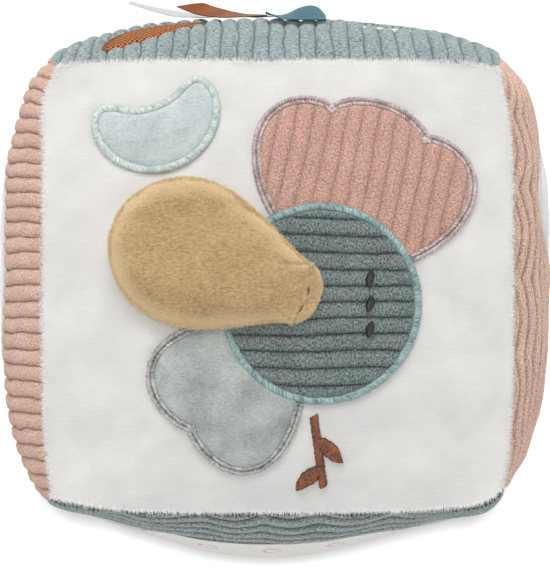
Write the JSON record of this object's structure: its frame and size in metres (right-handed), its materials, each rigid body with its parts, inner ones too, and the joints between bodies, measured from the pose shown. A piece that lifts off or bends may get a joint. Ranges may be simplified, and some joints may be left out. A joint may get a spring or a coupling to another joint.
{
  "type": "soft fabric block",
  "caption": "Stuffed fabric block for a baby with corduroy and plush faces, sewn-on flower design, loose petal flap and satin ribbons.",
  "frame": {"origin": "middle of the flat patch on the back face, where the block lies", "axes": "+Z out of the picture face, +Y towards the top face with the ribbons, +X to the right of the picture"},
  "size_m": [0.1651, 0.1654, 0.1531],
  "materials": {
    "white_plush": "short pile plush",
    "pink_corduroy": "jumbo corduroy",
    "blue_corduroy": "jumbo corduroy",
    "printed_cotton": "smooth printed weave",
    "pale_velour": "velour",
    "mustard_plush": "short pile plush",
    "brown_twill": "woven",
    "filling": "polyester fibre",
    "aqua_thread": "satin stitch",
    "mauve_thread": "satin stitch",
    "silver_thread": "satin stitch",
    "mint_thread": "satin stitch",
    "brown_thread": "satin stitch",
    "black_thread": "satin stitch",
    "crinkle_film": "thin clear film",
    "rattle_plastic": "moulded",
    "ribbon_blue": "satin ribbon",
    "ribbon_brown": "satin ribbon",
    "ribbon_white": "satin ribbon"
  },
  "bodies": {
    "block": {"picture_panel": "white_plush", "back_panel": "white_plush", "left_panel": "pink_corduroy", "right_panel": "pink_corduroy", "top_panel": "blue_corduroy", "bottom_front_strip": "blue_corduroy", "bottom_print_panel": "printed_cotton", "bottom_back_strip": "blue_corduroy", "filling_front": "filling", "filling_back": "filling", "rattle_cup": "rattle_plastic", "rattle_lid": "rattle_plastic", "flower_disc": "blue_corduroy", "flower_disc_stitching": "aqua_thread", "pink_petals": "pink_corduroy", "pink_petals_stitching": "mauve_thread", "pale_petals": "pale_velour", "pale_petals_stitching": "silver_thread", "crescent": "pale_velour", "crescent_stitching": "mint_thread", "stem_embroidery": "brown_thread", "seed_stitch_1": "black_thread", "seed_stitch_2": "black_thread", "seed_stitch_3": "black_thread", "left_patch": "white_plush", "left_patch_stitching": "silver_thread", "right_patch": "white_plush", "right_patch_stitching": "silver_thread", "top_round_patch": "white_plush", "top_round_patch_stitching": "silver_thread", "top_leaf_patch": "brown_twill", "top_leaf_patch_stitching": "brown_thread", "flap_root_tab": "mustard_plush"},
    "flap": {"flap_back_ply": "mustard_plush", "flap_crinkle_film": "crinkle_film", "flap_front_ply": "mustard_plush"},
    "ribbon_blue": {"ribbon_blue": "ribbon_blue"},
    "ribbon_brown": {"ribbon_brown": "ribbon_brown"},
    "ribbon_white": {"ribbon_white": "ribbon_white"},
    "rattle_ball_1": {"rattle_ball_1": "rattle_plastic"},
    "rattle_ball_2": {"rattle_ball_2": "rattle_plastic"},
    "rattle_ball_3": {"rattle_ball_3": "rattle_plastic"}
  },
  "joints": [
    {"name": "flap_lift", "type": "hinge", "parent": "block", "child": "flap", "pos_m": [0.006, -0.002, 0.148], "axis": [0.342, 0.9397, 0], "range_deg": [0, 150]},
    {"name": "ribbon_blue_flop", "type": "hinge", "parent": "block", "child": "ribbon_blue", "pos_m": [0.014, 0.0778, 0.101], "axis": [0, 0, -1], "range_deg": [0, 110]},
    {"name": "ribbon_brown_flop", "type": "hinge", "parent": "block", "child": "ribbon_brown", "pos_m": [-0.003, 0.07904, 0.088], "axis": [0, 0, -1], "range_deg": [0, 150]},
    {"name": "ribbon_white_flop", "type": "hinge", "parent": "block", "child": "ribbon_white", "pos_m": [0.001, 0.0798, 0.075], "axis": [0, 0, -1], "range_deg": [0, 150]},
    {"name": "rattle_ball_1_hop", "type": "slide", "parent": "block", "child": "rattle_ball_1", "axis": [0, 0, 1], "range_m": [0, 0.0162]},
    {"name": "rattle_ball_2_hop", "type": "slide", "parent": "block", "child": "rattle_ball_2", "axis": [0, 0, 1], "range_m": [0, 0.0162]},
    {"name": "rattle_ball_3_hop", "type": "slide", "parent": "block", "child": "rattle_ball_3", "axis": [0, 0, 1], "range_m": [0, 0.0162]}
  ]
}
